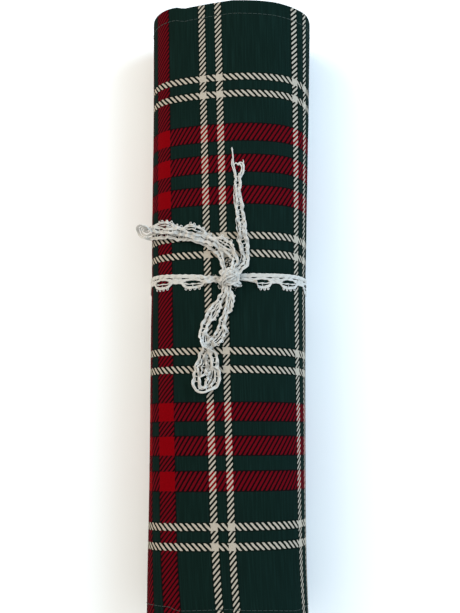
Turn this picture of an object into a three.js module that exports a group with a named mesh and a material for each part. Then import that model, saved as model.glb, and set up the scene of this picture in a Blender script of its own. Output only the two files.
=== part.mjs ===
// A tartan cotton table runner, hemmed all round, rolled up from one short end into a flattened roll
// and tied round its middle with narrow bobbin lace. Millimetres, +Z up, the roll lying along Y.
// The cloth is one spiral sheet. The lace is split where it flexes: band, knot, two loops and a tail.
import * as THREE from 'three';
import { mergeVertices } from 'three/addons/utils/BufferGeometryUtils.js';

// The runner: cut and hemmed to a standard 36 cm by 180 cm.
const RUNNER_WIDTH = 360;
const CLOTH_THICKNESS = 0.8;
const TURN_PITCH = 2.5;        // one turn of cloth and the air that its hems leave
const TURNS = 11;              // gives 1.8 m of cloth, and presses the core flat
const OUTER_TURNS = 2;         // turns with the finer steps
const OUTER_STEPS = 24;        // steps to a turn
const INNER_STEPS = 16;
const HEM_DEPTH = 10;

// The middle section of the roll: half its width, half its height and the height of its centre.
const HALF_WIDTH = 47.5;
const HALF_HEIGHT = 29.4;
const CENTRE_HEIGHT = 28.6;
// The section's outline from under the roll, where the cloth's free end lies, round past +X.
// The crown is flat and right of the middle, the left flank falls gently, the underside is flat.
const OUTLINE = [
  [-25, -0.8], [0, -0.8], [22, -0.8], [33, 1], [42.5, 9], [47.5, 26], [45.5, 38], [40, 47.8], [30, 54.2],
  [20, 57], [8, 58], [-6, 56.2], [-16, 54], [-29.5, 50], [-39.5, 44.5], [-45.5, 36], [-47.5, 26],
  [-43, 9.5], [-34, 1],
];
const STACKING = 0.62;         // share of the turn pitch left where the roll's weight presses the turns flat
const FLAT_TURN = 0.3;         // share of a turn before the free end's line at which the next flat pass begins

// The roll is slimmest at WAIST_Y and swells towards its hemmed far and near ends.
const WAIST_Y = -110;
const FAR_SWELL = 0.092;       // growth of the section at the far end, as a share
const NEAR_SWELL = 0.013;
const WAIST_SCALE = 0.965;     // the section at the waist against the middle section

// The lace, a 10 mm cotton strip, and where the band lies along the roll.
const LACE_WIDTH = 10;
const LACE_THICKNESS = 0.8;
const GAP = 0.3;
const TIE_Y = 11.5;
const DENT = 1.5;              // how far the band lifts the cloth's underside
const DENT_SLOPE = 6;          // length over which the cloth comes down again
const KNOT_SIZE = [12.5, 14, 6.4];
const KNOT_X = 2.5;
const ROLL_X = 0.8;            // the left loop overhangs the roll, so the roll's axis lies right of the origin

const END_Y = RUNNER_WIDTH / 2;
const BAND_START = TIE_Y - LACE_WIDTH / 2;
const BAND_END = TIE_Y + LACE_WIDTH / 2;
// Places along the roll where its section is set; the cloth runs straight between them.
const STATIONS = [-END_Y, BAND_START - 2 - DENT_SLOPE, BAND_START - 2, BAND_END + 2,
  BAND_END + 2 + DENT_SLOPE, END_Y];

const outlineCurve = new THREE.CatmullRomCurve3(
  OUTLINE.map(([x, z]) => new THREE.Vector3(x, 0, z)), true, 'chordal');
outlineCurve.arcLengthDivisions = 600;

// The section's size at a place along the roll, against the middle section.
function swell(y) {
  const toFar = Math.max(0, y - WAIST_Y) / (END_Y - WAIST_Y);
  const toNear = Math.max(0, WAIST_Y - y) / (END_Y + WAIST_Y);
  return WAIST_SCALE * (1 + FAR_SWELL * toFar ** 1.5 + NEAR_SWELL * toNear ** 2);
}

// How far the band lifts the cloth's underside at a station.
function lift(y) {
  return y >= BAND_START - 2 && y <= BAND_END + 2 ? DENT : 0;
}

// A point of the section at a station: turn is the share of a turn from the free end, inset is the depth
// under the section's outline. The underside is pressed flat, and each turn there lies on the next.
function sectionPoint(turn, inset, y) {
  const p = outlineCurve.getPointAt(((turn % 1) + 1) % 1);
  const size = swell(y);
  const x = p.x * size * (HALF_WIDTH - inset) / HALF_WIDTH;
  const z = CENTRE_HEIGHT + (p.z - CENTRE_HEIGHT) * size * (HALF_HEIGHT - inset) / HALF_HEIGHT;
  const passes = Math.floor(turn + FLAT_TURN);
  const under = STACKING * (TURN_PITCH * passes + inset - TURN_PITCH * turn);
  return new THREE.Vector3(x, y, Math.max(z, lift(y) + under));
}

// The same between stations, where the cloth is straight.
function clothPoint(turn, inset, y) {
  let i = 0;
  while (i < STATIONS.length - 2 && y > STATIONS[i + 1]) i += 1;
  const start = sectionPoint(turn, inset, STATIONS[i]);
  const end = sectionPoint(turn, inset, STATIONS[i + 1]);
  return start.lerp(end, (y - STATIONS[i]) / (STATIONS[i + 1] - STATIONS[i]));
}

// The turns at which the spiral is stepped, from the free outer end to the core.
function turnSteps() {
  const steps = [];
  for (let i = 0; i < OUTER_TURNS * OUTER_STEPS; i += 1) steps.push(i / OUTER_STEPS);
  const inner = Math.round((TURNS - OUTER_TURNS) * INNER_STEPS);
  for (let i = 0; i <= inner; i += 1) steps.push(OUTER_TURNS + i / INNER_STEPS);
  return steps;
}

// A closed solid swept from a list of rings with the same number of corners.
function sweep(rings, closed = false) {
  const sides = rings[0].length;
  const positions = rings.flat().flatMap((p) => [p.x, p.y, p.z]);
  const index = [];
  const last = closed ? rings.length : rings.length - 1;
  for (let i = 0; i < last; i += 1) {
    const here = i * sides;
    const next = ((i + 1) % rings.length) * sides;
    for (let k = 0; k < sides; k += 1) {
      const m = (k + 1) % sides;
      index.push(here + k, next + k, next + m, here + k, next + m, here + m);
    }
  }
  if (!closed) {
    const end = (rings.length - 1) * sides;
    for (let k = 1; k < sides - 1; k += 1) {
      index.push(0, k, k + 1);
      index.push(end, end + k + 1, end + k);
    }
  }
  const geometry = new THREE.BufferGeometry();
  geometry.setAttribute('position', new THREE.Float32BufferAttribute(positions, 3));
  geometry.setIndex(index);
  return facingOut(geometry);
}

// Turns a closed geometry's faces outward.
function facingOut(geometry) {
  const p = geometry.attributes.position;
  const index = Array.from(geometry.index.array);
  const [a, b, c] = [0, 1, 2].map(() => new THREE.Vector3());
  let volume = 0;
  for (let i = 0; i < index.length; i += 3) {
    a.fromBufferAttribute(p, index[i]);
    b.fromBufferAttribute(p, index[i + 1]);
    c.fromBufferAttribute(p, index[i + 2]);
    volume += a.dot(b.cross(c));
  }
  if (volume < 0) index.reverse();
  geometry.setIndex(index);
  geometry.computeVertexNormals();
  return geometry;
}

// The whole cloth: a spiral sheet whose ring is its edge profile along the roll, out along the outer
// face and back along the inner one.
function runnerCloth() {
  const rings = turnSteps().map((turn) => {
    const inset = TURN_PITCH * turn;
    const outer = STATIONS.map((y) => sectionPoint(turn, inset, y));
    const inner = STATIONS.map((y) => sectionPoint(turn, inset + CLOTH_THICKNESS, y));
    return [...outer, ...inner.reverse()];
  });
  const geometry = sweep(rings);
  // The two end caps are long strips, so they are rebuilt as quads from outer to inner face.
  const sides = rings[0].length;
  const half = sides / 2;
  const capTriangles = 2 * (sides - 2) * 3;
  const index = Array.from(geometry.index.array);
  const flipped = index[0] !== 0;
  const body = flipped ? index.slice(capTriangles) : index.slice(0, index.length - capTriangles);
  const end = (rings.length - 1) * sides;
  for (let k = 0; k < half - 1; k += 1) {
    const [a, b, c, d] = [k, k + 1, sides - 2 - k, sides - 1 - k];
    const first = [a, b, c, a, c, d];
    const second = [end + a, end + c, end + b, end + a, end + d, end + c];
    body.push(...(flipped ? first.reverse() : first), ...(flipped ? second.reverse() : second));
  }
  geometry.setIndex(body);
  return geometry;
}

// The thread of a side hem: a fine three-sided ridge along the hem's inner fold, round all the turns.
function sideHemThread(y) {
  const rings = turnSteps().map((turn) => {
    const inset = TURN_PITCH * turn + CLOTH_THICKNESS + GAP;
    return [clothPoint(turn, inset, y - 0.3), clothPoint(turn, inset, y + 0.3),
      clothPoint(turn, inset + 0.35, y)];
  });
  return sweep(rings);
}

// The thread of a short end's hem: a straight line of stitches across the runner's width.
function endHemThread(turn) {
  const inset = TURN_PITCH * turn + CLOTH_THICKNESS + GAP;
  const places = STATIONS.map((y) => THREE.MathUtils.clamp(y, HEM_DEPTH - END_Y + 2, END_Y - HEM_DEPTH - 2));
  const rings = places.map((y) => [clothPoint(turn, inset, y), clothPoint(turn + 0.004, inset, y),
    clothPoint(turn + 0.002, inset + 0.35, y)]);
  return sweep(rings);
}

// The lace band: a closed ring that follows the cloth's outermost turn, and passes over its free end.
function laceBand() {
  const rings = [];
  const OVERLAP = 0.12;         // share of a turn over which the band steps up past the free end
  for (let i = 0; i < 2 * OUTER_STEPS; i += 1) {
    const turn = i / (2 * OUTER_STEPS);
    const past = Math.max(0, turn - 1 + OVERLAP) / OVERLAP;
    const cloth = TURN_PITCH * turn * (1 - past);
    const ring = [[GAP, BAND_START], [GAP, BAND_END], [GAP + LACE_THICKNESS, BAND_END],
      [GAP + LACE_THICKNESS, BAND_START]].map(([out, y]) => {
      const p = sectionPoint(turn, cloth - out, BAND_END);
      const floor = out > GAP ? 0.1 : 0.1 + LACE_THICKNESS;
      const flat = outlineCurve.getPointAt(turn).z < 0;
      return new THREE.Vector3(p.x, y, flat ? floor : Math.max(floor, p.z - lowering(p.z)));
    });
    rings.push(ring);
  }
  return sweep(rings, true);
}

// Under the roll the band lies lower than the cloth that it lifts.
function lowering(z) {
  return THREE.MathUtils.clamp(DENT + 1 - z, 0, DENT);
}

// The height of the cloth's outermost turn at a place on the roll's upper side.
function roofHeight(x, y) {
  let best = 0;
  let before = null;
  for (let i = 0; i <= 200; i += 1) {
    const turn = 0.12 + 0.76 * i / 200;
    const p = clothPoint(turn, TURN_PITCH * turn, y);
    if (before && p.z > CENTRE_HEIGHT && (before.x - x) * (p.x - x) <= 0) {
      best = Math.max(best, THREE.MathUtils.lerp(before.z, p.z, (x - before.x) / (p.x - before.x || 1)));
    }
    before = p;
  }
  return best;
}

// The direction that faces away from the roll at a place on its upper side.
function roofNormal(x, y) {
  const slope = (roofHeight(x + 2, y) - roofHeight(x - 2, y)) / 4;
  return new THREE.Vector3(-slope, 0, 1).normalize();
}

// A strip of lace along a route. Each point is x, y and the height of the strip's middle over the cloth;
// a fourth value gives the point's own height where the strip has left the roll.
function laceStrip(route, width, steps) {
  const points = route.map(([x, y, over, z]) => new THREE.Vector3(x, y, z ?? roofHeight(x, y) + over));
  const curve = new THREE.CatmullRomCurve3(points, false, 'centripetal');
  const rings = [];
  for (let i = 0; i <= steps; i += 1) {
    const u = i / steps;
    const p = curve.getPointAt(u);
    const along = curve.getTangentAt(u);
    const up = roofNormal(THREE.MathUtils.clamp(p.x, -40, 40), p.y);
    const side = new THREE.Vector3().crossVectors(up, along).normalize().multiplyScalar(width / 2);
    const thick = new THREE.Vector3().crossVectors(along, side).normalize()
      .multiplyScalar(LACE_THICKNESS / 2);
    rings.push([p.clone().add(side).add(thick), p.clone().sub(side).add(thick),
      p.clone().sub(side).sub(thick), p.clone().add(side).sub(thick)]);
  }
  return sweep(rings);
}

// The knot: a lump of doubled lace on the band.
function laceKnot() {
  const ball = new THREE.IcosahedronGeometry(1, 2);
  ball.deleteAttribute('normal');
  ball.deleteAttribute('uv');
  const lump = mergeVertices(ball, 1e-4);
  lump.scale(...KNOT_SIZE.map((size) => size / 2));
  const height = roofHeight(KNOT_X, TIE_Y) + 2 * GAP + LACE_THICKNESS + KNOT_SIZE[2] / 2 + 0.5;
  lump.translate(KNOT_X, TIE_Y, height);
  lump.computeVertexNormals();
  return lump;
}

// The tail lies up the roll from the knot, towards the far end.
const UPPER_TAIL = [[7.5, 20.5, 1.9], [9.6, 25, 1.2], [9.2, 35, 0.9], [7.7, 44, 0.9], [6, 56, 0.9],
  [4.9, 65, 0.9], [4.9, 74, 0.9], [5.5, 82, 0.9], [3.2, 90, 0.9]];

// The left loop runs out over the left flank, overhangs the side and comes back on top of itself.
const LEFT_LOOP = [[-4.6, 19.5, 1.6], [-7.5, 25, 1], [-13, 31, 0.9], [-22, 36, 0.9], [-34, 40.5, 0.9],
  [-41, 43.5, 1.4], [-47.6, 46.2, 0, 37.6], [-48.5, 47, 0, 39.2], [-46.5, 47.2, 0, 41],
  [-40, 46.5, 3], [-33, 45, 2.6], [-22, 41, 2.6], [-12, 36.5, 2.6], [-4, 30.5, 2.7], [0, 23.5, 3.2]];

// The lower loop hangs towards the near end: down its left side, across itself, round its tip and back.
const LOWER_LOOP = [[-1.5, 3.2, 2.2], [-7, -3.5, 0.9], [-12, -11, 0.9], [-15, -19, 0.9], [-13.5, -25, 0.9],
  [-8, -30.5, 0.9], [-4.7, -38, 0.9], [-4.2, -46, 0.9], [-8, -51.5, 0.9], [-13, -52.5, 1.4],
  [-16.5, -48, 2.2], [-17.4, -41, 2.6], [-15, -34.5, 2.6], [-8, -29, 2.6], [-3, -22.5, 2.4],
  [0, -14, 1.5], [2.6, -5, 1.2], [4.6, 2.4, 2.4]];

const TARTAN_GREEN = 0x16302a;
const THREAD_GREEN = 0x1b3a2e;
const LACE_CREAM = 0xe6e1d6;

function addPart(group, name, geometry, color, roughness) {
  const material = new THREE.MeshStandardMaterial({ color, roughness, metalness: 0 });
  const mesh = new THREE.Mesh(geometry, material);
  mesh.name = name;
  group.add(mesh);
}

const roll = new THREE.Group();
addPart(roll, 'runner_cloth', runnerCloth(), TARTAN_GREEN, 0.9);
addPart(roll, 'far_hem_thread', sideHemThread(END_Y - HEM_DEPTH), THREAD_GREEN, 0.8);
addPart(roll, 'near_hem_thread', sideHemThread(HEM_DEPTH - END_Y), THREAD_GREEN, 0.8);
addPart(roll, 'outer_end_hem_thread', endHemThread(0.4 / OUTER_STEPS), THREAD_GREEN, 0.8);
addPart(roll, 'inner_end_hem_thread', endHemThread(TURNS - 2 / INNER_STEPS), THREAD_GREEN, 0.8);

const tie = new THREE.Group();
addPart(tie, 'lace_band', laceBand(), LACE_CREAM, 0.85);
addPart(tie, 'lace_knot', laceKnot(), LACE_CREAM, 0.85);
addPart(tie, 'lace_left_loop', laceStrip(LEFT_LOOP, 8.5, 40), LACE_CREAM, 0.85);
addPart(tie, 'lace_lower_loop', laceStrip(LOWER_LOOP, 6.5, 48), LACE_CREAM, 0.85);
addPart(tie, 'lace_upper_tail', laceStrip(UPPER_TAIL, 6.5, 20), LACE_CREAM, 0.85);

const runner = new THREE.Group();
runner.add(roll, tie);
runner.position.x = ROLL_X;

export default runner;
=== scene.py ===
import math
import random

import bpy
import numpy as np
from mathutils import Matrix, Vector
from mathutils.bvhtree import BVHTree


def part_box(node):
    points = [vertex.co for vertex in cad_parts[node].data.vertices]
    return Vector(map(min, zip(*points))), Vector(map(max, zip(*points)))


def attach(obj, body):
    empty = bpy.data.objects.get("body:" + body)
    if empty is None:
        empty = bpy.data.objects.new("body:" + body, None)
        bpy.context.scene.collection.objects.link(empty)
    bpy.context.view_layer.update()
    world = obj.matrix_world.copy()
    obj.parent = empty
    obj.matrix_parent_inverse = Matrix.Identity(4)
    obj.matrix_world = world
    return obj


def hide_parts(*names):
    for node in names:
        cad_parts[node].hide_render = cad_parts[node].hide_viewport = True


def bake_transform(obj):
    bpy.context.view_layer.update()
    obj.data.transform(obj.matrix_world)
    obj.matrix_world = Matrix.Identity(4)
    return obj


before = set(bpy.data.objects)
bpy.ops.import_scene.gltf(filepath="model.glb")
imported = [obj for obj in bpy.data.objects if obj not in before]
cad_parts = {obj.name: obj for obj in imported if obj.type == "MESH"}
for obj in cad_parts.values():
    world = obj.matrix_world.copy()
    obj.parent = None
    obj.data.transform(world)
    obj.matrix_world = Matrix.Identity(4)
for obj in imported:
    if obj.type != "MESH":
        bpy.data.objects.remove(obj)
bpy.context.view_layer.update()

bpy.ops.object.select_all(action="DESELECT")

# ---------------------------------------------------------------------------------------------
# The camera. The roll is seen from above with its near end a little closer, so that its sides run
# apart slightly towards the viewer and its near end passes out of view.
VIEW_TILT = math.radians(9.7)
VIEW_DISTANCE = 0.4915
LENS = 51.1
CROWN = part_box("runner_cloth")[1].z - 0.001
aim = Vector((0.0028, -0.0036, CROWN))
bpy.ops.object.camera_add(
    location=aim + VIEW_DISTANCE * Vector((0, -math.sin(VIEW_TILT), math.cos(VIEW_TILT))),
    rotation=(VIEW_TILT, 0, 0),
)
camera = bpy.context.object
camera.name = "camera"
camera.data.lens = LENS
camera.data.clip_start = 0.01
bpy.context.scene.camera = camera

# ---------------------------------------------------------------------------------------------
# The runner: one length of ribbed cotton, printed with a tartan of dark green, red and beige, and
# hemmed all round. It is rolled up from one short end, right side out, and its own weight and the
# tie press the roll flat. Its outer end is tucked under. One spiral sheet, built turn by turn.
RUNNER_WIDTH = 0.36
ROLL_X = 0.0008                   # where the roll's axis lies
HALF_WIDTH, HALF_HEIGHT, CENTRE_HEIGHT = 0.0475, 0.0294, 0.0286
BROAD = 1.023                     # the pressed roll spreads a little
TURNS = 11
OUTER_ROUND, INNER_ROUND = 0.241, 0.085    # the lengths of the first and the last turn
TURN_PITCH = 0.0025
FLAT_TURN = 0.3                   # share of a turn before the free end's line where a flat pass begins
STACKING = 0.62                   # share of the turn pitch left where the roll's weight presses the turns
WAIST_Y, WAIST_SCALE = -0.110, 0.965
FAR_SWELL, NEAR_SWELL = 0.092, 0.013
CLOTH = 0.0006                    # one layer of cloth
HEM_FOLDS = 0.0011                # what the two folded layers of a hem add to it
HEM_DEPTH = 0.010
HEM_EASE = 0.0004                 # over how much of the cloth a hem's thickness runs out
STITCH_IN = 0.0012                # how far inside the hem's inner edge the stitches run
EDGE_FOLD = 0.0008                # radius of the fold along a hem's outer edge
TIE_Y, LACE_WIDTH = 0.0115, 0.010
TIE_LIFT = 0.0015                 # how far the band under the roll lifts it
END_Y = RUNNER_WIDTH / 2
OUTLINE = np.array([
    (-25, -0.8), (0, -0.8), (22, -0.8), (33, 1), (42.5, 9), (47.5, 26), (45.5, 38), (40, 47.8),
    (30, 54.2), (20, 57), (8, 58), (-6, 56.2), (-16, 54), (-29.5, 50), (-39.5, 44.5), (-45.5, 36),
    (-47.5, 26), (-43, 9.5), (-34, 1),
]) / 1000


def smooth_loop(points, steps):
    """A closed curve through points, as evenly spaced samples and their share of the way round."""
    found = []
    count = len(points)
    for i in range(count):
        p0, p1, p2, p3 = (points[(i + k) % count] for k in (-1, 0, 1, 2))
        d0, d1, d2 = (np.linalg.norm(b - a) for a, b in ((p0, p1), (p1, p2), (p2, p3)))
        start = ((p1 - p0) / d0 - (p2 - p0) / (d0 + d1) + (p2 - p1) / d1) * d1
        end = ((p2 - p1) / d1 - (p3 - p1) / (d1 + d2) + (p3 - p2) / d2) * d1
        for k in range(steps):
            t = k / steps
            found.append(
                p1 + start * t + (3 * (p2 - p1) - 2 * start - end) * t**2
                + (2 * (p1 - p2) + start + end) * t**3
            )
    found.append(found[0])
    found = np.array(found)
    way = np.concatenate([[0], np.cumsum(np.linalg.norm(np.diff(found, axis=0), axis=1))])
    return found, way / way[-1]


outline, outline_share = smooth_loop(OUTLINE, 24)


def swell(y):
    """The section's size along the roll: slimmest below the tie, widest at the far hem."""
    to_far = np.maximum(0, y - WAIST_Y) / 0.290
    to_near = np.maximum(0, WAIST_Y - y) / 0.070
    return WAIST_SCALE * (1 + FAR_SWELL * to_far**1.5 + NEAR_SWELL * to_near**2)


def axis_x(y):
    """The roll isn't quite straight: where its middle lies at each place along it."""
    return ROLL_X + np.interp(
        y, [-0.18, -0.15, -0.105, -0.075, -0.045, 0, 0.054, 0.118, 0.17, 0.185],
        [0.0002, -0.0002, -0.0001, 0, 0.0001, 0.00045, 0.00105, 0.00205, 0.0024, 0.0025])


def soft_step(low, high, value):
    """0 below low, 1 above high, and a smooth rise between."""
    t = np.clip((value - low) / (high - low), 0, 1)
    return t * t * (3 - 2 * t)


def section(turn, inset, y):
    """Points of the cloth: turn counts from the free outer end, inset is the depth under the roll's
    outline. The underside is pressed flat, each turn on the next, and the band lifts it a little."""
    share = np.mod(turn, 1.0)
    x = np.interp(share, outline_share, outline[:, 0])
    z = np.interp(share, outline_share, outline[:, 1])
    size = swell(y)
    x = x * BROAD * size * (HALF_WIDTH - inset) / HALF_WIDTH
    z = CENTRE_HEIGHT + (z - CENTRE_HEIGHT) * size * (HALF_HEIGHT - inset) / HALF_HEIGHT
    beside = np.abs(y - TIE_Y) - LACE_WIDTH / 2
    lift = TIE_LIFT * (1 - soft_step(0.002, 0.008, beside))
    passes = np.floor(turn + FLAT_TURN)
    under = STACKING * (TURN_PITCH * passes + inset - TURN_PITCH * turn)
    z = np.maximum(z, lift + under)
    return np.stack(np.broadcast_arrays(x + axis_x(y), y, z), axis=-1)


def undulation(turn, y):
    """The shallow unevenness of cloth that isn't stretched: how far it lies under its outline."""
    along, around = y / RUNNER_WIDTH, turn * 2 * math.pi
    slow = np.sin(around * 2 + 7 * along + 0.6) + np.sin(around * 3 - 11 * along + 2.1)
    quick = np.sin(around * 7 + 19 * along) * np.sin(31 * along + around * 2 + 1.0)
    under = 0.5 - 0.5 * np.cos(around)     # none where the roll lies on its flat underside
    return (0.00009 * (2 + slow) + 0.00004 * (1 + quick)) * under


def cloth_places():
    """Stations along the roll, close together at the hems and at the band's dent."""
    edge = [0, 0.00012, 0.0003, 0.0006, 0.0010, 0.0016, 0.003, 0.005, 0.0072, 0.0084, 0.0094,
            0.0100, 0.0106, 0.013, 0.018]
    middle = np.linspace(0.024, RUNNER_WIDTH - 0.024, 34)
    return np.array(edge + list(middle) + [RUNNER_WIDTH - e for e in reversed(edge)]) - END_Y


def cloth_turns():
    """Steps round the roll, finer on the two outer turns."""
    return np.concatenate([np.arange(0, 2, 1 / 90), np.arange(2, TURNS + 0.001, 1 / 40)])


turns, places = cloth_turns(), cloth_places()
turn_grid, place_grid = np.meshgrid(turns, places, indexing="ij")
from_edge = END_Y - np.abs(place_grid)
rounding = np.where(
    from_edge < EDGE_FOLD,
    EDGE_FOLD - np.sqrt(np.maximum(0, EDGE_FOLD**2 - (EDGE_FOLD - from_edge) ** 2)),
    0,
)
from_end = np.minimum(turn_grid * OUTER_ROUND, (TURNS - turn_grid) * INNER_ROUND)
hem = 1 - soft_step(HEM_DEPTH - HEM_EASE, HEM_DEPTH + HEM_EASE, np.minimum(from_edge, from_end))
stitch_dip = 0.00012 * np.exp(-(((from_edge - HEM_DEPTH + STITCH_IN) / 0.0007) ** 2))
waist_pull = 0.0003 * np.exp(-(((place_grid - TIE_Y) / 0.016) ** 2))
outer_inset = TURN_PITCH * turn_grid + rounding + stitch_dip
outer_inset = outer_inset + undulation(turn_grid, place_grid) + waist_pull
inner_inset = outer_inset + CLOTH + hem * HEM_FOLDS - 2 * rounding * hem
# The outer turns have slipped along the roll a little, and the inner ones wander.
slipped = np.interp(
    turn_grid,
    [0, 0.3, 0.40, 0.44, 0.48, 0.505, 0.57, 0.60, 0.715, 0.735, 0.78, 0.9, 1.1, 1.4],
    [0.0005, 0.0015, 0.0023, 0.0014, 0.0022, 0.0027, 0.0030, 0.0034, 0.0015, 0.0034, 0.0034, 0.0020,
     0.0008, 0.0],
)
wander = slipped + 0.0012 * np.sin(turn_grid * 2.3 + 0.4) * np.clip(turn_grid - 1, 0, 1)
sway = place_grid + wander
outer_face = section(turn_grid, outer_inset, sway)
inner_face = section(turn_grid, inner_inset, sway)
steps = np.linalg.norm(np.diff(outer_face, axis=0), axis=2)
around = np.concatenate([np.zeros((1, len(places))), np.cumsum(steps, axis=0)])
first_top = np.argmax((turns > FLAT_TURN) & (outer_face[:, len(places) // 2, 0] < ROLL_X))
across = around[first_top] - around       # metres of cloth from the crown line, + towards +X
# The cloth was rolled a little askew, so the print drifts across the roll on its way to the near
# end, and it follows the roll's bowed middle line.
near_drift = 0.0016 * (np.maximum(0, -0.100 - sway) / 0.06) ** 2
right_drift = np.interp(
    sway, [-0.15, -0.10, -0.06, 0, 0.06, 0.085, 0.12, 0.17],
    [-0.0044, -0.0037, -0.0028, -0.0025, -0.0002, 0.0005, 0.0011, 0.0019])
bow = np.interp(
    sway, [-0.17, -0.10, -0.045, 0, 0.054, 0.118, 0.17],
    [0, -0.0002, 0.0003, 0.0003, 0.00085, 0.0017, 0.0018])
askew = 0.0039 + bow + 0.030 * sway - near_drift - right_drift * np.clip(across / 0.05, 0, 1)


def sheet_mesh(name, outer, inner, map_u, map_v):
    """A closed sheet from two grids of points, with its cloth map and a mark on its wrong side."""
    rows, columns = outer.shape[:2]
    points = np.concatenate([outer.reshape(-1, 3), inner.reshape(-1, 3)])
    back = rows * columns
    at = np.arange(back).reshape(rows, columns)
    faces = []
    for i in range(rows - 1):
        for j in range(columns - 1):
            a, b, c, d = at[i, j], at[i + 1, j], at[i + 1, j + 1], at[i, j + 1]
            faces.append((a, b, c, d))
            faces.append((back + d, back + c, back + b, back + a))
    for i in range(rows - 1):
        a, b = at[i, 0], at[i + 1, 0]
        faces.append((back + a, back + b, b, a))
        a, b = at[i, columns - 1], at[i + 1, columns - 1]
        faces.append((a, b, back + b, back + a))
    for j in range(columns - 1):
        a, b = at[0, j], at[0, j + 1]
        faces.append((a, b, back + b, back + a))
        a, b = at[rows - 1, j], at[rows - 1, j + 1]
        faces.append((back + a, back + b, b, a))
    mesh = bpy.data.meshes.new(name)
    mesh.from_pydata(points.tolist(), [], faces)
    piece = bpy.data.objects.new(name, mesh)
    bpy.context.scene.collection.objects.link(piece)
    corners = np.zeros(len(mesh.loops), dtype=np.int32)
    mesh.loops.foreach_get("vertex_index", corners)
    flat = np.stack([map_u.reshape(-1), map_v.reshape(-1)], axis=-1)
    flat = np.concatenate([flat, flat])[corners]
    mesh.uv_layers.new(name="cloth").data.foreach_set("uv", flat.reshape(-1))
    mark = mesh.attributes.new("wrong_side", "FLOAT", "POINT")
    mark.data.foreach_set("value", (np.arange(len(points)) >= back).astype(np.float32))
    mesh.polygons.foreach_set("use_smooth", [True] * len(mesh.polygons))
    return piece


def face_outward(piece):
    """Turns the faces of a closed piece outwards."""
    bpy.ops.object.select_all(action="DESELECT")
    bpy.context.view_layer.objects.active = piece
    piece.select_set(True)
    bpy.ops.object.mode_set(mode="EDIT")
    bpy.ops.mesh.select_all(action="SELECT")
    bpy.ops.mesh.normals_make_consistent(inside=False)
    bpy.ops.object.mode_set(mode="OBJECT")
    piece.select_set(False)


# The tie draws the print in on both sides of it, and the cloth sags a little past the shoulders.
pulled = 0.00085 * np.exp(-(((sway + 0.081) / 0.03) ** 2))
pulled = pulled + 0.00028 * np.exp(-(((sway - 0.081) / 0.03) ** 2))
tilt = np.interp(sway, [-0.17, -0.13, -0.033, 0.02, 0.18], [0.028, 0.0166, -0.0145, 0, 0])
sag = 0.08 * np.clip(across - 0.035, 0, 0.04) * np.interp(sway, [-0.05, 0.14], [0, 1])
print_place = sway - pulled - across * tilt + sag
runner = sheet_mesh("tartan_runner", outer_face, inner_face, across + askew, print_place)
face_outward(runner)


class Socket:
    """A shader socket or a number, so that shader maths can be written as ordinary expressions."""

    def __init__(self, nodes, value):
        self.nodes, self.value = nodes, value

    def maths(self, operation, *others):
        values = [self.value] + [o.value if isinstance(o, Socket) else o for o in others]
        node = self.nodes.tree.nodes.new("ShaderNodeMath")
        node.operation = operation
        for socket, value in zip(node.inputs, values):
            self.nodes.feed(socket, value)
        return Socket(self.nodes, node.outputs[0])

    def __add__(self, other):
        return self.maths("ADD", other)

    def __radd__(self, other):
        return self.maths("ADD", other)

    def __sub__(self, other):
        return self.maths("SUBTRACT", other)

    def __rsub__(self, other):
        return Socket(self.nodes, other).maths("SUBTRACT", self)

    def __mul__(self, other):
        return self.maths("MULTIPLY", other)

    def __rmul__(self, other):
        return self.maths("MULTIPLY", other)

    def __truediv__(self, other):
        return self.maths("DIVIDE", other)

    def fold(self, half_period):
        """Distance to the nearest even multiple of half_period."""
        return self.maths("PINGPONG", half_period)

    def band(self, centre, half_width, soft):
        """1 within half_width of centre, 0 outside, over a soft edge."""
        off = (self - centre).maths("ABSOLUTE")
        return ((half_width - off) / soft + 0.5).clamp()

    def clamp(self):
        return self.maths("MAXIMUM", 0.0).maths("MINIMUM", 1.0)


class Finish:
    """A new material's node tree, with one method that adds any node."""

    def __init__(self, name):
        self.material = bpy.data.materials.new(name)
        self.material.use_nodes = True
        self.tree = self.material.node_tree
        self.tree.nodes.clear()

    def feed(self, socket, value):
        """Links a socket to value, or sets it where value is a number or a colour."""
        if isinstance(value, Socket):
            value = value.value
        if isinstance(value, bpy.types.NodeSocket):
            self.tree.links.new(value, socket)
        else:
            socket.default_value = value

    def add(self, kind, settings=None, output=0, **sockets):
        """Adds a node with its settings first, then its sockets, and gives one of its outputs."""
        node = self.tree.nodes.new(kind)
        for key, value in (settings or {}).items():
            setattr(node, key, value)
        for key, value in sockets.items():
            self.feed(node.inputs[key.replace("_", " ")], value)
        return Socket(self, node.outputs[output]) if len(node.outputs) else None

    def mix(self, share, first, second):
        """Colour first turning to second by share."""
        node = self.tree.nodes.new("ShaderNodeMix")
        node.data_type = "RGBA"
        self.feed(node.inputs[0], share)
        self.feed(node.inputs[6], first)
        self.feed(node.inputs[7], second)
        return Socket(self, node.outputs[2])

    def shade(self, **sockets):
        """The surface itself: a Principled shader, whose sockets are named with _ for spaces."""
        shader = self.add("ShaderNodeBsdfPrincipled", **sockets)
        self.add("ShaderNodeOutputMaterial", Surface=shader)
        return self.material


def colour(red, green, blue):
    """A linear colour from the usual 0 to 255 scale."""
    linear = [((c / 255 + 0.055) / 1.055) ** 2.4 if c > 10 else c / 3295 for c in (red, green, blue)]
    return (*linear, 1)


# The tartan's sett in millimetres: the distance from the middle red line to the next red line, to the
# two beige lines, and half of the repeat. Along the runner's width and along its length they differ.
SETT_ALONG = {"middle": 80.95, "half": 81.5, "red": (0, 19.0), "beige": (43.0, 53.5)}
SETT_ACROSS = {"middle": -50.2, "half": 78.15, "red": (0, 18.0), "beige": (45.2, 55.2)}
RED_HALF, BEIGE_HALF = 5.15, 2.0
SKEW = 0.0040                     # the print lies a little off the straight of the cloth


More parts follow.
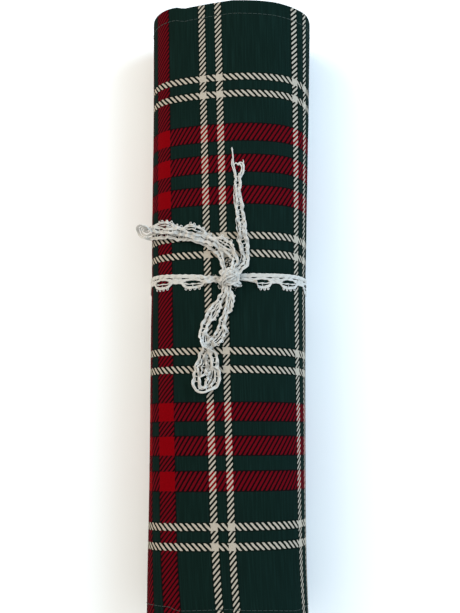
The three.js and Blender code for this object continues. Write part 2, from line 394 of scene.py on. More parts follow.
def tartan():
    """Printed cotton: hatched lines on ribbed green, with a faded wrong side."""
    made = Finish("printed_tartan_cotton")
    place = made.add("ShaderNodeUVMap", {"uv_map": "cloth"})
    split = made.tree.nodes.new("ShaderNodeSeparateXYZ")
    made.feed(split.inputs[0], place)
    right = Socket(made, split.outputs[0]) * 1000
    up = Socket(made, split.outputs[1]) * 1000
    u = right
    v = up - right * SKEW
    wobble = made.add("ShaderNodeTexNoise", Vector=place, Scale=420.0, Detail=2.0)
    u = u + (wobble - 0.5) * 0.5
    v = v + (wobble - 0.5) * 0.4

    down = (v - SETT_ALONG["middle"]).fold(SETT_ALONG["half"])
    side = (u - SETT_ACROSS["middle"]).fold(SETT_ACROSS["half"])

    def lines(folded, centres, half, soft=0.25):
        found = folded.band(centres[0], half, soft)
        return found.maths("MAXIMUM", folded.band(centres[1], half, soft))

    def reach(folded, centres, half):
        """How far out in a line a point lies: 0 in its middle, 1 at its edge."""
        near = (folded - centres[0]).maths("ABSOLUTE").maths(
            "MINIMUM", (folded - centres[1]).maths("ABSOLUTE"))
        return (near / half).clamp()

    red_rows = lines(down, SETT_ALONG["red"], RED_HALF)
    red_columns = lines(side, SETT_ACROSS["red"], RED_HALF)
    beige_rows = lines(down, SETT_ALONG["beige"], BEIGE_HALF)
    beige_columns = lines(side, SETT_ACROSS["beige"], BEIGE_HALF)

    def bars(value, period, share, worn):
        """Slanting bars: value runs across them, share is the inked part of the period, and the
        bars draw in to round ends where worn nears 1."""
        off = (value / period).maths("FRACT") - 0.5
        inked = share * 0.5 - worn.maths("POWER", 6.0) * share * 0.17
        return ((inked - off.maths("ABSOLUTE")) / 0.07 + 0.5).clamp()

    column_bars = bars(v - u * 1.08, 3.05, 0.47, reach(side, SETT_ACROSS["beige"], BEIGE_HALF))
    row_bars = bars(u + v * 0.95, 3.4, 0.50, reach(down, SETT_ALONG["beige"], BEIGE_HALF))
    red_row_bars = bars(u - v * 0.66, 2.8, 0.58, reach(down, SETT_ALONG["red"], RED_HALF))
    red_column_bars = bars(v - u * 1.05, 3.0, 0.58, reach(side, SETT_ACROSS["red"], RED_HALF))

    grain = made.add("ShaderNodeTexNoise", Vector=place, Scale=900.0, Detail=3.0)
    stretched = made.add("ShaderNodeMapping", Vector=place, Scale=(1.0, 0.035, 1.0))
    rib = made.add("ShaderNodeTexNoise", Vector=stretched, Scale=1250.0, Detail=1.0)
    cloudy = made.add("ShaderNodeTexNoise", Vector=place, Scale=26.0, Detail=2.0)

    green = made.mix(cloudy, colour(9, 23, 19), colour(11, 27, 24))
    green = made.mix((rib - 0.42).clamp() * 1.1, green, colour(20, 42, 38))
    dark = made.mix(grain, colour(12, 3, 5), colour(20, 5, 8))
    hatched_red = made.mix(grain, colour(78, 3, 11), colour(98, 7, 18))
    bright_red = made.mix(grain, colour(98, 0, 5), colour(120, 1, 9))
    beige = made.mix(grain, colour(150, 140, 126), colour(177, 167, 154))
    outline_green = colour(6, 15, 11)

    def edge(folded, centres, half, width):
        outer = lines(folded, centres, half + width, 0.3)
        return outer - lines(folded, centres, half, 0.3)

    ink = made.mix(edge(down, SETT_ALONG["beige"], BEIGE_HALF, 0.7) * 0.7, green, outline_green)
    ink = made.mix(edge(side, SETT_ACROSS["beige"], BEIGE_HALF, 0.7) * 0.7, ink, outline_green)
    ink = made.mix(edge(down, SETT_ALONG["red"], RED_HALF, 0.5), ink, dark)
    ink = made.mix(edge(side, SETT_ACROSS["red"], RED_HALF, 0.5), ink, dark)
    red_column = made.mix(red_column_bars, dark, hatched_red)
    red_row = made.mix(red_row_bars, dark, hatched_red)
    ink = made.mix(red_columns, ink, red_column)
    ink = made.mix(red_rows, ink, red_row)
    ink = made.mix(red_rows * red_columns, ink, bright_red)
    ink = made.mix(red_rows * beige_columns, ink, bright_red)
    ink = made.mix(beige_rows, ink, outline_green)
    ink = made.mix((beige_columns - red_rows).clamp(), ink, outline_green)
    ink = made.mix(beige_rows * row_bars, ink, beige)
    ink = made.mix(beige_columns * column_bars, ink, beige)
    ink = made.mix(beige_rows * beige_columns, ink, beige)

    back = made.add("ShaderNodeAttribute", {"attribute_name": "wrong_side"}, output=2)
    faded = made.mix(0.4, ink, colour(92, 98, 90))
    ink = made.mix(back, ink, faded)

    thread_run = (right / 0.42).maths("FRACT").maths("PINGPONG", 0.5)
    pick_run = (up / 0.5).maths("FRACT").maths("PINGPONG", 0.5)
    height = thread_run * 0.7 + pick_run * 0.25 + grain * 0.5 + rib * 0.6
    bump = made.add("ShaderNodeBump", Height=height, Strength=0.35, Distance=0.00012)
    rough = 0.86 + grain * 0.1
    return made.shade(
        Base_Color=ink, Roughness=rough, Normal=bump, Specular_IOR_Level=0.02,
    )


runner.data.materials.append(tartan())
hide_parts("runner_cloth")
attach(runner, "roll")

# ---------------------------------------------------------------------------------------------
# The hems are held by a line of machine stitches in dark green cotton, a little inside their folded
# edge. Each stitch is a short rounded bridge of thread whose ends sink into the cloth.
STITCH, STITCH_GAP, THREAD = 0.0026, 0.0004, 0.00042
STITCH_HEIGHTS = np.array([-0.25, 0.02, 0.12, 0.12, 0.02, -0.25]) / 1000
STITCH_RINGS = len(STITCH_HEIGHTS)


def unit(vectors):
    return vectors / np.maximum(np.linalg.norm(vectors, axis=-1, keepdims=True), 1e-12)


def stitch_row(name, line, facing, node):
    """Stitches along a line on the cloth, as one mesh of short closed bridges."""
    run = np.concatenate([[0], np.cumsum(np.linalg.norm(np.diff(line, axis=0), axis=1))])
    points, faces = [], []
    count = 0
    for start in np.arange(0.0012, run[-1] - STITCH, STITCH + STITCH_GAP):
        at = start + STITCH * np.array([0, 0.1, 0.35, 0.65, 0.9, 1])
        spot = np.stack([np.interp(at, run, line[:, k]) for k in range(3)], axis=1)
        away = unit(np.stack([np.interp(at, run, facing[:, k]) for k in range(3)], axis=1))
        ahead = unit(np.gradient(spot, axis=0))
        side = np.cross(away, ahead)
        spot = spot + away * STITCH_HEIGHTS[:, None]
        for k in range(4):
            angle = math.pi / 2 * k + math.pi / 4
            points.append(spot + THREAD / 2 * (side * math.cos(angle) + away * math.sin(angle)))
        ring = np.arange(STITCH_RINGS - 1)
        corners = count + STITCH_RINGS * np.arange(4)
        for k in range(4):
            a, b = corners[k] + ring, corners[(k + 1) % 4] + ring
            faces.append(np.stack([a, b, b + 1, a + 1], axis=1))
        faces.append(corners[[0, 3, 2, 1]][None])
        faces.append(corners[None] + STITCH_RINGS - 1)
        count += 4 * STITCH_RINGS
    mesh = bpy.data.meshes.new(name)
    mesh.from_pydata(np.concatenate(points).tolist(), [], np.concatenate(faces).tolist())
    mesh.polygons.foreach_set("use_smooth", [True] * len(mesh.polygons))
    piece = bpy.data.objects.new(name, mesh)
    bpy.context.scene.collection.objects.link(piece)
    face_outward(piece)
    piece.data.materials.append(stitch_thread)
    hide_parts(node)
    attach(piece, "roll")
    return piece


def green_thread():
    """Dark green cotton sewing thread."""
    made = Finish("dark_green_sewing_thread")
    place = made.add("ShaderNodeTexCoord", output=3)
    fibre = made.add("ShaderNodeTexNoise", Vector=place, Scale=3000.0, Detail=2.0)
    tone = made.mix(fibre, colour(13, 29, 25), colour(30, 52, 46))
    bump = made.add("ShaderNodeBump", Height=fibre, Strength=0.4, Distance=0.0001)
    return made.shade(Base_Color=tone, Roughness=0.6 + fibre * 0.2, Normal=bump)


stitch_thread = green_thread()
face_normals = unit(np.cross(np.gradient(outer_face, axis=1), np.gradient(outer_face, axis=0)))
from_core = outer_face[:80, len(places) // 2] - np.array([0, 0, CENTRE_HEIGHT])
if np.mean(np.sum(face_normals[:80, len(places) // 2] * from_core, axis=1)) < 0:
    face_normals = -face_normals
for label, from_side in (("far", 1), ("near", -1)):
    at_place = from_side * (END_Y - HEM_DEPTH + STITCH_IN)
    column = np.searchsorted(places, at_place)
    part = (at_place - places[column - 1]) / (places[column] - places[column - 1])
    line = outer_face[:, column - 1] * (1 - part) + outer_face[:, column] * part
    stitch_row(f"{label}_hem_stitches", line, face_normals[:, column], f"{label}_hem_thread")
inside = slice(4, len(places) - 4)
for label, at_turn in (("outer", (HEM_DEPTH - STITCH_IN) / OUTER_ROUND),
                       ("inner", TURNS - (HEM_DEPTH - STITCH_IN) / INNER_ROUND)):
    row = np.searchsorted(turns, at_turn)
    stitch_row(f"{label}_end_stitches", outer_face[row, inside], face_normals[row, inside],
               f"{label}_end_hem_thread")

# ---------------------------------------------------------------------------------------------
# The lace that ties the roll: one length of cotton cluny lace, plaited from two-ply thread. It has a
# dense heading along one edge, a peaked tape and a row of scallops with picots along the other. It
# goes once round the roll and is knotted on the crown, and its ends make two loops and a loose tail.
HALF_LACE = LACE_WIDTH / 2
SCALLOP = 20.0                    # one scallop of the pattern, in millimetres
LACE_STEP = 0.00045               # how finely a plait follows its path
cloth_tree = BVHTree.FromPolygons(
    [v.co.copy() for v in runner.data.vertices], [tuple(p.vertices) for p in runner.data.polygons])


def lace_plaits(length, phase, opened):
    """The lace laid flat: each plait as its points (along, across), width and thickness, in metres.
    phase turns a distance along the lace into a place in the pattern, in millimetres. Where the lace
    isn't pulled tight, opened is 1 and the ladder under its heading stands open."""
    along = np.arange(0, length + LACE_STEP / 2, LACE_STEP)
    place = phase(along)
    peak = 0.5 - 0.5 * np.cos(np.mod(place, SCALLOP) / SCALLOP * 2 * math.pi)
    plaits = []
    for row, (height, width) in enumerate(((4.55, 1.05), (3.85, 0.85), (3.2, 0.75))):
        edge = height + 0.05 * np.sin(place * 2.1 + row) + opened * 0.15 * row
        plaits.append((along, edge, width - 0.1 * opened, 0.62))
    ladder_foot = 1.6 + 0.85 * peak**1.5 - opened * 0.75
    plaits.append((along, ladder_foot + 0.07 * np.sin(place * 1.7), 0.9 - 0.15 * opened, 0.6))
    under_ladder = ladder_foot - 0.7 + 0.15 * peak + 0.07 * np.sin(place * 1.9 + 1)
    plaits.append((along, under_ladder, 0.8, 0.55))
    first, last = math.floor(place[0] / SCALLOP), math.ceil(place[-1] / SCALLOP)
    for n in range(first, last + 1):
        start = SCALLOP * n

        def add(points, width, thickness=0.5):
            """One plait of this scallop, unless the lace ends inside it."""
            points = np.array(points, float)
            at = points[:, 0] + start
            if at[0] < place[0] + 0.2 or at[-1] > place[-1] - 0.2:
                return
            plaits.append((np.interp(at, place, along), points[:, 1], width, thickness))

        if opened < 0.3:
            add([(-2.4, 2.35), (2.4, 2.35)], 0.85)
        add([(-5.6, 0.75), (-3, 0.3), (0, 0.2), (3, 0.3), (5.6, 0.75)], 0.85)
        add([(-4.2, -0.3), (-2, -0.35), (2, -0.35), (4.2, -0.3)], 0.8)
        add([(3.2, -0.1), (5, -0.35), (7.4, -0.75), (10, -0.5), (12.6, -0.75), (15, -0.35),
             (16.8, -0.1)], 0.75)
        add([(3.0, -0.2), (4.0, -1.3), (5.2, -2.4), (7.5, -3.1), (10, -3.35), (12.5, -3.1),
             (14.8, -2.4), (16.0, -1.3), (17.0, -0.2)], 1.0)
        add([(4.1, -0.6), (5.4, -1.7), (7.7, -2.35), (10, -2.6), (12.3, -2.35), (14.6, -1.7),
             (15.9, -0.6)], 0.8)
        add([(9.8, -0.6), (10.2, -2.4)], 0.45)
        for picot in (6.0, 8.65, 11.35, 14.0):
            tip = -4.7 + 0.14 * abs(picot - 10)
            root = tip + 1.3
            add([(picot - 0.4, root), (picot - 0.62, tip + 0.5), (picot - 0.28, tip), (picot + 0.28, tip),
                 (picot + 0.62, tip + 0.5), (picot + 0.4, root)], 0.6, 0.5)
        legs = (-8.75, -6.25, -3.75, -1.25, 1.25, 3.75, 6.25, 8.75)
        for leg in legs if opened > 0.3 else (-7.8, -2.6, 2.6, 7.8):
            rise = (0.5 - 0.5 * math.cos(leg / SCALLOP * 2 * math.pi)) ** 1.5
            foot = 1.8 + 0.85 * rise - opened * 0.8
            add([(leg - 0.15, foot), (leg + 0.15, 3.4)], 0.6)
    return [(a, b / 1000, w / 1000, t / 1000) for a, b, w, t in plaits]


def resample(along, across, step):
    """Evenly spaced points on a path drawn in the plane of the flat lace."""
    path = np.stack([along, across], axis=1)
    run = np.concatenate([[0], np.cumsum(np.linalg.norm(np.diff(path, axis=0), axis=1))])
    count = max(3, int(run[-1] / step) + 1)
    at = np.linspace(0, run[-1], count)
    return np.interp(at, run, along), np.interp(at, run, across)


def plait_mesh(paths, sides=6):
    """Closed twisted tubes. Each path is its points, the direction its flat side faces, its width and
    thickness. Two plies of thread show as a flattened section that turns on its way."""
    points, faces, runs = [], [], []
    count = 0
    for index, (centre, facing, width, thickness) in enumerate(paths):
        rings = len(centre)
        tangent = unit(np.gradient(centre, axis=0))
        side = unit(np.cross(facing, tangent))
        up = np.cross(tangent, side)
        run = np.concatenate([[0], np.cumsum(np.linalg.norm(np.diff(centre, axis=0), axis=1))])
        swell_by = 1 + 0.13 * np.sin(run / 0.00062 + index * 1.7)
        taper = np.ones(rings)
        taper[0] = taper[-1] = 0.55
        turn = run / 0.0021 * math.pi + index
        ply = 0.84 + 0.16 * np.cos(2 * turn)
        for k in range(sides):
            angle = 2 * math.pi * k / sides
            across = width / 2 * math.cos(angle) * swell_by * taper
            over = thickness / 2 * math.sin(angle) * taper * ply
            lean = 0.00008 * np.sin(turn + angle)
            points.append(centre + side * (across + lean)[:, None] + up * over[:, None])
        ring = np.arange(rings)
        for k in range(sides):
            a, b = count + k * rings + ring, count + (k + 1) % sides * rings + ring
            faces.append(np.stack([a[:-1], b[:-1], b[1:], a[1:]], axis=1))
        for end in (0, rings - 1):
            corner = count + np.arange(sides) * rings + end
            order = corner if end else corner[::-1]
            for k in range(1, sides - 1, 2):
                faces.append(np.array([[order[0], order[k], order[k + 1], order[min(k + 2, sides - 1)]]]))
        runs.append(np.tile(run, sides))
        count += rings * sides
    return np.concatenate(points), np.concatenate(faces), np.concatenate(runs)


def cloth_under(point):
    """The nearest place on the cloth to a point, and the way the cloth faces there."""
    place, normal, _, _ = cloth_tree.find_nearest(point)
    return place, normal


def above_cloth(x, y, height):
    """A point at a height over the cloth's upper side."""
    place, normal, _, _ = cloth_tree.ray_cast(Vector((x, y, 0.2)), Vector((0, 0, -1)))
    return np.array(place + normal * height)


def curve_through(points, steps=16):
    """A smooth open curve through points, evenly spaced, with its distance along."""
    points = [np.array(p) for p in points]
    points = [2 * points[0] - points[1]] + points + [2 * points[-1] - points[-2]]
    found = []
    for p0, p1, p2, p3 in zip(points, points[1:], points[2:], points[3:]):
        for k in range(steps):
            t = k / steps
            found.append(0.5 * (2 * p1 + (p2 - p0) * t + (2 * p0 - 5 * p1 + 4 * p2 - p3) * t * t
                                + (3 * p1 - p0 - 3 * p2 + p3) * t**3))
    found.append(points[-2])
    found = np.array(found)
    run = np.concatenate([[0], np.cumsum(np.linalg.norm(np.diff(found, axis=0), axis=1))])
    return found, run


CLEAR = 0.00012                   # how far a thread's side stays off the cloth


def lace_strip(name, route, settings, phase_at=0.0, phase=None, seed=1, centred=True, opened=1, extra=()):
    """Lace laid along a route. settings gives, at shares of its length: the width it is drawn in to,
    how far it leans over sideways, where it is folded along its length (in millimetres across), how
    far the fold is closed, and how crumpled it is."""
    curve, run = route
    total = run[-1]
    step_count = int(total / 0.0005) + 2
    at = np.linspace(0, total, step_count)
    centre = np.stack([np.interp(at, run, curve[:, k]) for k in range(3)], axis=1)
    tangent = unit(np.gradient(centre, axis=0))
    facing = np.array([cloth_under(Vector(c))[1][:] for c in centre])
    for _ in range(12):
        facing[1:-1] = (facing[:-2] + 2 * facing[1:-1] + facing[2:]) / 4
    facing = unit(facing - tangent * np.sum(facing * tangent, axis=1, keepdims=True))
    side = np.cross(facing, tangent)
    share = at / total
    keys = np.array(settings, float)
    width, lean, fold, shut, crumple = (np.interp(share, keys[:, 0], keys[:, k]) for k in range(1, 6))
    lean = np.radians(lean)
    upward = facing
    side, facing = (
        side * np.cos(lean)[:, None] + facing * np.sin(lean)[:, None],
        facing * np.cos(lean)[:, None] - side * np.sin(lean)[:, None],
    )
    draw = random.Random(seed)
    waves = [(draw.uniform(200, 800), draw.uniform(-700, 700), draw.uniform(0, 6.28), 1.0)
             for _ in range(5)]
    waves += [(draw.uniform(900, 2000), draw.uniform(-1600, 1600), draw.uniform(0, 6.28), 0.6)
              for _ in range(6)]

    def place_in_pattern(along):
        """Where a distance along this lace, in metres, comes in its pattern, in millimetres."""
        return phase(along) if phase else phase_at + along * 1000

    def laid(along, across):
        """Where a point of the flat lace comes to lie, and the way the lace faces there."""
        def local(values):
            if values.ndim == 1:
                return np.interp(along, at, values)
            return np.stack([np.interp(along, at, values[:, k]) for k in range(3)], axis=-1)

        w, f, s, c = local(width), local(fold) / 1000, local(shut), local(crumple)
        beyond = np.maximum(f - across, 0)
        bend = 0.0009
        turned = np.minimum(beyond / bend, 1) * s * math.pi * 0.97
        flat_part = across + beyond
        away = np.maximum(beyond - bend, 0)
        arc = np.minimum(beyond, bend)
        sideways = -np.sin(turned) * np.where(turned > 1e-6, arc / np.maximum(turned, 1e-6), 0)
        sideways = np.where(turned > 1e-6, sideways, -arc) - np.cos(turned) * away
        raised = np.where(turned > 1e-6, (1 - np.cos(turned)) * arc / np.maximum(turned, 1e-6), 0)
        raised = raised + np.sin(turned) * away
        ripple, shift = 0, 0
        for k, (fa, fb, start, strength) in enumerate(waves):
            ripple = ripple + strength * np.sin(along * fa + across * fb + start)
            shift = shift + strength * np.sin(along * fa * 0.83 - across * fb + 2 * start + k)
        middle = 0.5 * (np.maximum(f, -HALF_LACE) + HALF_LACE) * s * centred
        out = (flat_part + sideways - middle) * w + shift * c * 0.00011
        up = raised + ripple * c * 0.0002
        spot = local(centre) + local(side) * out[:, None] + local(facing) * up[:, None]
        spot = spot + local(upward) * (c * 0.0005)[:, None]
        face = local(facing) * np.cos(turned)[:, None] + local(side) * np.sin(turned)[:, None]
        return spot, unit(face)

    paths = []
    for along, across, plait_width, thick in lace_plaits(total, place_in_pattern, opened):
        along, across = resample(along, across, LACE_STEP)
        spot, face = laid(along, across)
        drawn_in = 0.72 + 0.28 * np.interp(along[0], [0, total], [width[0], width[-1]])
        paths.append((spot, face, plait_width * drawn_in, thick))
    paths.extend(extra)
    points, faces, runs = plait_mesh(paths)
    for i, point in enumerate(points):
        place, normal = cloth_under(Vector(point))
        gap = (Vector(point) - place).dot(normal)
        if gap < CLEAR and (Vector(point) - place).length < 0.004:
            points[i] = place + normal * CLEAR
    points[:, 2] = np.maximum(points[:, 2], 0.00005)
    mesh = bpy.data.meshes.new(name)
    mesh.from_pydata(points.tolist(), [], faces.tolist())
    piece = bpy.data.objects.new(name, mesh)
    bpy.context.scene.collection.objects.link(piece)
    worn = mesh.attributes.new("thread_run", "FLOAT", "POINT")
    worn.data.foreach_set("value", runs.astype(np.float32))
    mesh.polygons.foreach_set("use_smooth", [True] * len(mesh.polygons))
    face_outward(piece)
    piece.data.materials.append(lace_cotton)
    return piece


def cream_lace():
    """Cream cotton, a little soiled, whose two plies show as a twist along every plait, with painted
    shade in the grooves between the plies.
    """
    made = Finish("cream_lace_cotton")
    place = made.add("ShaderNodeTexCoord", output=3)
    blotch = made.add("ShaderNodeTexNoise", Vector=place, Scale=90.0, Detail=2.0)
    fibre = made.add("ShaderNodeTexNoise", Vector=place, Scale=2600.0, Detail=2.0)
    run = made.add("ShaderNodeAttribute", {"attribute_name": "thread_run"}, output=2)
    twist = (run * (1 / 0.00075)).maths("FRACT").maths("PINGPONG", 0.5)
    tone = made.mix(blotch, colour(189, 184, 177), colour(202, 200, 197))
    tone = made.mix(fibre * 0.3, tone, colour(164, 157, 146))
    # Painted shade: the colour darkens in the grooves between the two plies, where the twist's bump is
    # lowest.
    tone = made.mix((0.25 - twist).clamp() * 1.2, tone, colour(146, 138, 127))
    height = twist * 0.8 + fibre * 0.6
    bump = made.add("ShaderNodeBump", Height=height, Strength=0.5, Distance=0.0002)
    return made.shade(
        Base_Color=tone, Roughness=0.85 + fibre * 0.1, Normal=bump, Specular_IOR_Level=0.2,
        Sheen_Weight=0.15,
    )


lace_cotton = cream_lace()

# ---------------------------------------------------------------------------------------------
# The turn of lace round the roll, laid flat over the crown and under the roll's own weight below. Its
# scallops point towards the near end, and it is folded narrow and gathered where it enters the knot.
KNOT_TURN = 0.598                 # where the knot sits on the outer turn


def band_route():
    """Once round, from the crown to the right, under the roll and up its left side."""
    points = []
    for share in np.linspace(0, 1, 161):
        turn = (KNOT_TURN - share) % 1.0
        past = soft_step(0.88, 1.0, turn)
        inset = TURN_PITCH * turn * (1 - past) - 0.00055
        spot = section(np.array(turn), np.array(inset), np.array(TIE_Y))
        reach = abs(spot[0] - ROLL_X) / 0.045
        drift = 0.0024 if spot[0] < 0 else 0.0012
        spot[1] = 0.0104 + drift * min(1, reach) ** 1.6
        if spot[2] < 0.0035 and abs(spot[0]) < 0.036:
            spot[2] = 0.0008
        else:
            place, normal = cloth_under(Vector(spot))
            spot = np.array(place + normal * 0.00045)
        points.append(spot)
    curve = np.array(points)
    for _ in range(3):
        curve[1:-1] = (curve[:-2] + 2 * curve[1:-1] + curve[2:]) / 4
    run = np.concatenate([[0], np.cumsum(np.linalg.norm(np.diff(curve, axis=0), axis=1))])
    return curve, run


band_curve, band_run = band_route()
band_length = band_run[-1]
top_left = band_length - np.array([41.5, 21.7, 1.9]) / 1000
scallops = np.concatenate(
    [[0.0012, 0.0185, 0.0345], np.linspace(0.0345, top_left[0], 9)[1:], top_left[1:]])
pattern = SCALLOP / 2 + SCALLOP * np.arange(len(scallops))


def band_phase(along):
    """Puts the middle of one scallop at each of the places in scallops."""
    before, after = np.minimum(along - scallops[0], 0), np.maximum(along - scallops[-1], 0)
    return np.interp(along, scallops, pattern) + before * 1000 + after * 1000


band = lace_strip(
    "lace_turn", (band_curve, band_run),
    [(0, 0.8, 0, 1.7, 1, 0.5), (0.030, 1.0, 0, 1.5, 1.0, 0.3), (0.056, 1.0, 0, 0.0, 1, 0.2),
     (0.064, 1.0, 0, -0.6, 0.0, 0.12), (0.90, 1.0, 0, -5, 0, 0.12), (0.925, 0.9, 0, -5, 0, 0.8),
     (0.955, 0.8, 0, -5, 0.0, 1.8), (1, 0.55, 0, -5, 0, 2.2)],
    phase=band_phase, seed=3, centred=False, opened=0,
)
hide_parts("lace_band")
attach(band, "tie")

# ---------------------------------------------------------------------------------------------
# The side loop of the bow: the same lace leaves the knot, lies over the roll's shoulder, turns back
# on itself past the edge and returns over its first layer into the knot, which holds both layers.
left_route = curve_through([
    above_cloth(0.0012, 0.0158, 0.0022), above_cloth(0.0006, 0.0212, 0.0014),
    above_cloth(-0.0004, 0.0268, 0.0009), above_cloth(-0.0042, 0.0322, 0.0009),
    above_cloth(-0.0110, 0.0364, 0.0009), above_cloth(-0.0200, 0.0398, 0.0009),
    above_cloth(-0.0310, 0.0424, 0.0009), above_cloth(-0.0400, 0.0436, 0.0011),
    (-0.0466, 0.0444, 0.0392), (-0.0486, 0.0453, 0.0395),
    (-0.0472, 0.0464, 0.0425), above_cloth(-0.0395, 0.0460, 0.0028),
    above_cloth(-0.0320, 0.0450, 0.0026), above_cloth(-0.0220, 0.0424, 0.0025),
    above_cloth(-0.0120, 0.0388, 0.0025), above_cloth(-0.0030, 0.0345, 0.0027),
    above_cloth(0.0032, 0.0296, 0.0030), above_cloth(0.0070, 0.0252, 0.0034),
    above_cloth(0.0074, 0.0208, 0.0038), above_cloth(0.0055, 0.0162, 0.0042),
])
left_loop = lace_strip(
    "lace_side_loop", left_route,
    [(0, 0.5, 0, -5, 0, 1.2), (0.12, 0.85, 0, -5, 0, 1.5), (0.43, 1.0, 0, -5, 0, 1.7),
     (0.50, 0.7, 90, -5, 0, 1.2), (0.57, 0.85, 180, -5, 0, 1.7), (0.8, 0.95, 180, -5, 0, 1.8),
     (0.90, 0.8, 200, -5, 0, 1.4), (1, 0.5, 180, -5, 0, 1.2)],
    phase_at=4.0, seed=11, opened=0.5,
)
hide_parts("lace_left_loop")
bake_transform(left_loop)

# ---------------------------------------------------------------------------------------------
# The near loop of the bow lies limp over the crown: the same lace runs down, twists over where it
# crosses itself, turns round at the bottom and comes back up under that crossing into the knot.
near_route = curve_through([
    above_cloth(0.0022, 0.0105, 0.0034), above_cloth(0.0016, 0.0060, 0.0022),
    above_cloth(0.0004, 0.0024, 0.0016), above_cloth(-0.0024, -0.0016, 0.0012),
    above_cloth(-0.0056, -0.0056, 0.0010), above_cloth(-0.0084, -0.0112, 0.0009),
    above_cloth(-0.0101, -0.0164, 0.0009), above_cloth(-0.0108, -0.0210, 0.0014),
    above_cloth(-0.0096, -0.0262, 0.0024), above_cloth(-0.0074, -0.0314, 0.0024),
    above_cloth(-0.0066, -0.0366, 0.0016), above_cloth(-0.0062, -0.0418, 0.0011),
    above_cloth(-0.0068, -0.0448, 0.0012), above_cloth(-0.0086, -0.0470, 0.0014),
    above_cloth(-0.0110, -0.0482, 0.0018), above_cloth(-0.0130, -0.0480, 0.0023),
    above_cloth(-0.0134, -0.0458, 0.0026), above_cloth(-0.0130, -0.0420, 0.0017),
    above_cloth(-0.0127, -0.0382, 0.0010),
    above_cloth(-0.0118, -0.0336, 0.0009), above_cloth(-0.0100, -0.0294, 0.0009),
    above_cloth(-0.0063, -0.0253, 0.0009), above_cloth(-0.0030, -0.0212, 0.0009),
    above_cloth(-0.0008, -0.0168, 0.0010), above_cloth(0.0006, -0.0114, 0.0011),
    above_cloth(0.0022, -0.0054, 0.0013), above_cloth(0.0036, 0.0000, 0.0018),
    above_cloth(0.0040, 0.0052, 0.0028), above_cloth(0.0036, 0.0105, 0.0042),
])
near_loop = lace_strip(
    "lace_near_loop", near_route,
    [(0, 0.55, 180, -5, 0, 1.0), (0.10, 0.62, 180, -5, 0, 1.2), (0.2, 0.76, 180, -5, 0, 1.3),
     (0.26, 0.75, 172, -5, 0, 1.4), (0.31, 0.8, 100, -5, 0, 1.2), (0.36, 0.85, 20, -5, 0, 1.4),
     (0.42, 0.85, 0, -5, 0, 1.7), (0.52, 0.85, 0, -5, 0, 2.0), (0.62, 0.85, 0, -5, 0, 1.8),
     (0.75, 0.72, 0, -5, 0, 1.5), (0.82, 0.66, 0, -5, 0, 1.3), (0.90, 0.5, 0, -5, 0, 1.1),
     (1, 0.5, 0, -5, 0, 1.0)],
    phase_at=11.0, seed=23, opened=0.7,
)
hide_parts("lace_lower_loop")
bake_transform(near_loop)

# ---------------------------------------------------------------------------------------------
# The loose tail: the lace's cut end, folded in two along its length, lying over the crown towards
# the far end. Its last centimetre has frayed apart into single plaits.
tail_route = curve_through([
    above_cloth(0.0070, 0.0150, 0.0040), above_cloth(0.0092, 0.0189, 0.0022),
    above_cloth(0.0110, 0.0238, 0.0013), above_cloth(0.0112, 0.0294, 0.0010),
    above_cloth(0.0104, 0.0352, 0.0010), above_cloth(0.0093, 0.0440, 0.0010),
    above_cloth(0.0083, 0.0529, 0.0010), above_cloth(0.0074, 0.0619, 0.0010),
    above_cloth(0.0071, 0.0690, 0.0010), above_cloth(0.0074, 0.0745, 0.0010),
])
frays = []
for spots, thick in (
    (((0.0068, 0.0715), (0.0059, 0.0760), (0.0049, 0.0805), (0.0046, 0.0850), (0.0040, 0.0905)), 0.0008),
    (((0.0060, 0.0720), (0.0050, 0.0765), (0.0040, 0.0800), (0.0041, 0.0835)), 0.0007),
    (((0.0086, 0.0715), (0.0102, 0.0745), (0.0108, 0.0775), (0.0103, 0.0803), (0.0087, 0.0810),
      (0.0072, 0.0795)), 0.0011),
    (((0.0078, 0.0730), (0.0095, 0.0762), (0.0094, 0.0790), (0.0080, 0.0806)), 0.0009),
    (((0.0050, 0.0790), (0.0060, 0.0808), (0.0074, 0.0802)), 0.0006),
    (((0.0098, 0.0795), (0.0106, 0.0815), (0.0103, 0.0829)), 0.0005),
):
    fray, _ = curve_through([above_cloth(x, y, 0.0009) for x, y in spots], steps=8)
    frays.append((fray, np.tile((0.0, 0.0, 1.0), (len(fray), 1)), thick, thick * 0.8))
tail = lace_strip(
    "lace_tail", tail_route,
    [(0, 0.6, 180, 0, 1, 1.0), (0.12, 1.0, 180, 0.3, 0.7, 1.5), (0.2, 1.1, 180, 0.3, 0.9, 1.7),
     (0.36, 1.25, 180, 0.3, 1, 1.9), (0.5, 1.15, 180, 0.3, 0.9, 1.8), (0.58, 1.0, 180, 0.3, 0.75, 1.6),
     (0.66, 0.9, 180, 0.3, 1, 1.3), (0.88, 0.9, 180, 0.3, 0.9, 1.3), (1, 0.95, 180, 0.3, 0.9, 1.5)],
    phase_at=2.0, seed=31, opened=0.4, extra=frays,
)
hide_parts("lace_upper_tail")
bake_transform(tail)

# ---------------------------------------------------------------------------------------------
# The knot: the lace pulled tight over and under itself into a small firm lump on the crown. Two
# crossing wraps and one round them are joined as one piece, with loose fibres teased out of them.
FIBRES = 46
FIBRE_WIDTH, FIBRE_THICKNESS = 0.00016, 0.00014
FIBRE_STEP = 0.0008


def wrap(points, heights):
    """One turn of the knot, over points on the cloth at heights above it."""
    return curve_through([above_cloth(x, y, h) for (x, y), h in zip(points, heights)])


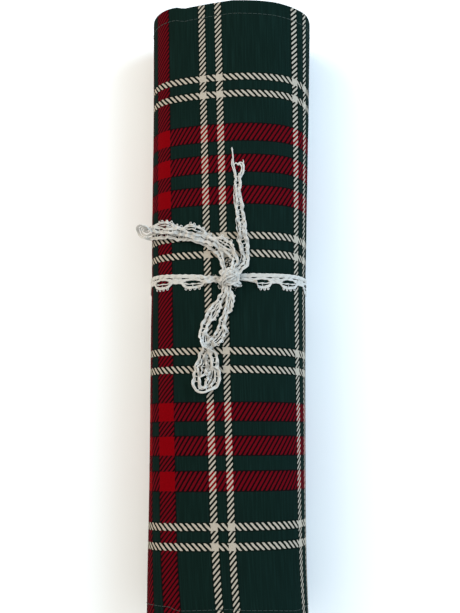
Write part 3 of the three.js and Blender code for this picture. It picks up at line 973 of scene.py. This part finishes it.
wraps = (
    wrap([(-0.0022, 0.0088), (-0.0010, 0.0103), (0.0026, 0.0132), (0.0063, 0.0158), (0.0082, 0.0172)],
         (0.0008, 0.0034, 0.0058, 0.0042, 0.0012)),
    wrap([(-0.0026, 0.0168), (-0.0010, 0.0152), (0.0030, 0.0122), (0.0068, 0.0096), (0.0084, 0.0084)],
         (0.0010, 0.0030, 0.0048, 0.0032, 0.0010)),
    wrap([(0.0004, 0.0112), (0.0006, 0.0146), (0.0030, 0.0163), (0.0057, 0.0150), (0.0060, 0.0117),
          (0.0040, 0.0098), (0.0014, 0.0104)],
         (0.0030, 0.0042, 0.0046, 0.0044, 0.0044, 0.0042, 0.0030)),
)
hair = random.Random(7)
fuzz = []
for _ in range(FIBRES):
    x, y = hair.gauss(0.0018, 0.0045), hair.gauss(0.0135, 0.0030)
    turn_by = hair.uniform(0, 2 * math.pi)
    spots = []
    for k in range(4):
        turn_by += hair.uniform(-0.9, 0.9)
        x, y = x + FIBRE_STEP * math.cos(turn_by), y + FIBRE_STEP * math.sin(turn_by)
        rise = 0.0044 * math.exp(-((x - 0.003) ** 2 + (y - 0.0128) ** 2) / 0.00002)
        spots.append(above_cloth(x, y, rise + hair.uniform(0.0005, 0.0014)))
    strand, _ = curve_through(spots, steps=4)
    fuzz.append((strand, np.tile((0.0, 0.0, 1.0), (len(strand), 1)), FIBRE_WIDTH, FIBRE_THICKNESS))
wrap_pieces = []
for number, route in enumerate(wraps):
    wrap_pieces.append(lace_strip(
        f"lace_knot_{number}", route,
        [(0, 0.6, 0, 0, 1, 0.8), (0.5, 0.95, 0, 0, 1, 0.8), (1, 0.6, 0, 0, 1, 0.8)],
        phase_at=3.0 + 7 * number, seed=41 + number, opened=0.2, extra=fuzz if number == 0 else (),
    ))
bpy.ops.object.select_all(action="DESELECT")
for piece in wrap_pieces:
    piece.select_set(True)
bpy.context.view_layer.objects.active = wrap_pieces[0]
bpy.ops.object.join()
knot = bpy.context.object
knot.name = "lace_knot_wraps"
knot.select_set(False)
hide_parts("lace_knot")
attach(knot, "tie")

# ---------------------------------------------------------------------------------------------
# The surface it lies on, and soft light: a warm large lamp on the left, a cooler one on the right,
# and a room whose light turns from warm to cool the same way.
bpy.ops.mesh.primitive_plane_add(size=40, location=(0, 0, -0.0002))
floor = bpy.context.object
floor.name = "floor"
paint = Finish("pale_floor")
floor.data.materials.append(paint.shade(Base_Color=(0.9, 0.9, 0.9, 1), Roughness=0.9))


def soft_lamp(name, place, size, watts, tint):
    """A square lamp that faces the roll."""
    bpy.ops.object.light_add(type="AREA", location=place)
    lamp = bpy.context.object
    lamp.name = name
    lamp.data.size = size
    lamp.data.energy = watts
    lamp.data.color = tint
    lamp.rotation_euler = (Vector((0, 0, 0.03)) - Vector(place)).to_track_quat("-Z", "Y").to_euler()


soft_lamp("warm_left_lamp", (-0.95, 0.6, 0.9), 1.0, 12.5, (1.0, 0.92, 0.80))
soft_lamp("cool_right_lamp", (1.0, 0.45, 0.8), 1.0, 18.0, (0.57, 0.79, 1.0))
world = bpy.data.worlds.new("soft_room")
bpy.context.scene.world = world
world.use_nodes = True
room = world.node_tree
ways = room.nodes.new("ShaderNodeTexCoord")
across_room = room.nodes.new("ShaderNodeSeparateXYZ")
tint = room.nodes.new("ShaderNodeValToRGB")
spread = room.nodes.new("ShaderNodeMath")
spread.operation = "MULTIPLY_ADD"
spread.inputs[1].default_value = 0.5
spread.inputs[2].default_value = 0.5
tint.color_ramp.elements[0].color = (1.0, 0.94, 0.84, 1)
tint.color_ramp.elements[1].color = (0.78, 0.92, 1.0, 1)
room.links.new(ways.outputs["Generated"], across_room.inputs[0])
room.links.new(across_room.outputs[0], spread.inputs[0])
room.links.new(spread.outputs[0], tint.inputs[0])
room.links.new(tint.outputs[0], room.nodes["Background"].inputs[0])
room.nodes["Background"].inputs[1].default_value = 0.85
bpy.context.scene.view_settings.view_transform = "Standard"
